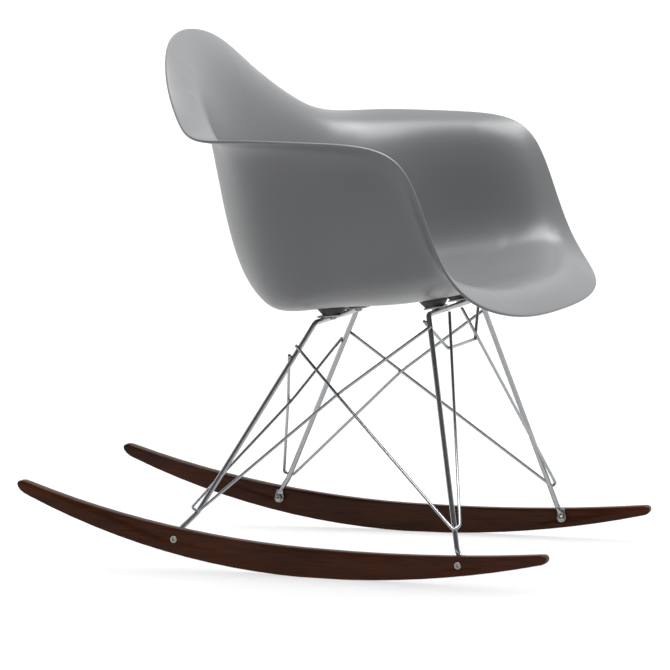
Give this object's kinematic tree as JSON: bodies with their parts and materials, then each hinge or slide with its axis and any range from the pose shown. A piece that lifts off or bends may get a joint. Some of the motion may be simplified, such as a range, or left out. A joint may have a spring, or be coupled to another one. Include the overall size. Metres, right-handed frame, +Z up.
{
  "type": "rocking chair",
  "caption": "Rocking armchair with a grey moulded bucket shell on a chromed wire base and dark stained wooden rockers.",
  "frame": {"origin": "on the floor, at the bottom centre of the chair's bounding box", "axes": "+Z up, the front of the seat towards -Y, +X to the sitter's left"},
  "size_m": [0.6354, 0.8108, 0.7562],
  "materials": {
    "shell_plastic": "satin moulded",
    "chromed_wire": "bright plated",
    "stained_maple": "stained and lacquered",
    "mount_rubber": "matt moulded",
    "zinc_steel": "zinc plated"
  },
  "bodies": {
    "root": {"seat_shell": "shell_plastic", "front_leg_frame": "chromed_wire", "rear_leg_frame": "chromed_wire", "front_brace_right": "chromed_wire", "front_brace_left": "chromed_wire", "rear_brace_right": "chromed_wire", "rear_brace_left": "chromed_wire", "front_cradle_wire": "chromed_wire", "rocker_right": "stained_maple", "rocker_left": "stained_maple", "front_bolt_washer_left": "zinc_steel", "front_bolt_washer_right": "zinc_steel", "front_cap_nut_left": "zinc_steel", "front_cap_nut_right": "zinc_steel", "front_insert_left": "zinc_steel", "front_insert_right": "zinc_steel", "front_mount_plate_left": "zinc_steel", "front_mount_plate_right": "zinc_steel", "front_rocker_bolt_left": "zinc_steel", "front_rocker_bolt_right": "zinc_steel", "front_screw_washer_left": "zinc_steel", "front_screw_washer_right": "zinc_steel", "front_seat_screw_left": "zinc_steel", "front_seat_screw_right": "zinc_steel", "front_shock_mount_left": "mount_rubber", "front_shock_mount_right": "mount_rubber", "rear_bolt_washer_left": "zinc_steel", "rear_bolt_washer_right": "zinc_steel", "rear_cap_nut_left": "zinc_steel", "rear_cap_nut_right": "zinc_steel", "rear_insert_left": "zinc_steel", "rear_insert_right": "zinc_steel", "rear_mount_plate_left": "zinc_steel", "rear_mount_plate_right": "zinc_steel", "rear_rocker_bolt_left": "zinc_steel", "rear_rocker_bolt_right": "zinc_steel", "rear_screw_washer_left": "zinc_steel", "rear_screw_washer_right": "zinc_steel", "rear_seat_screw_left": "zinc_steel", "rear_seat_screw_right": "zinc_steel", "rear_shock_mount_left": "mount_rubber", "rear_shock_mount_right": "mount_rubber"}
  },
  "joints": []
}
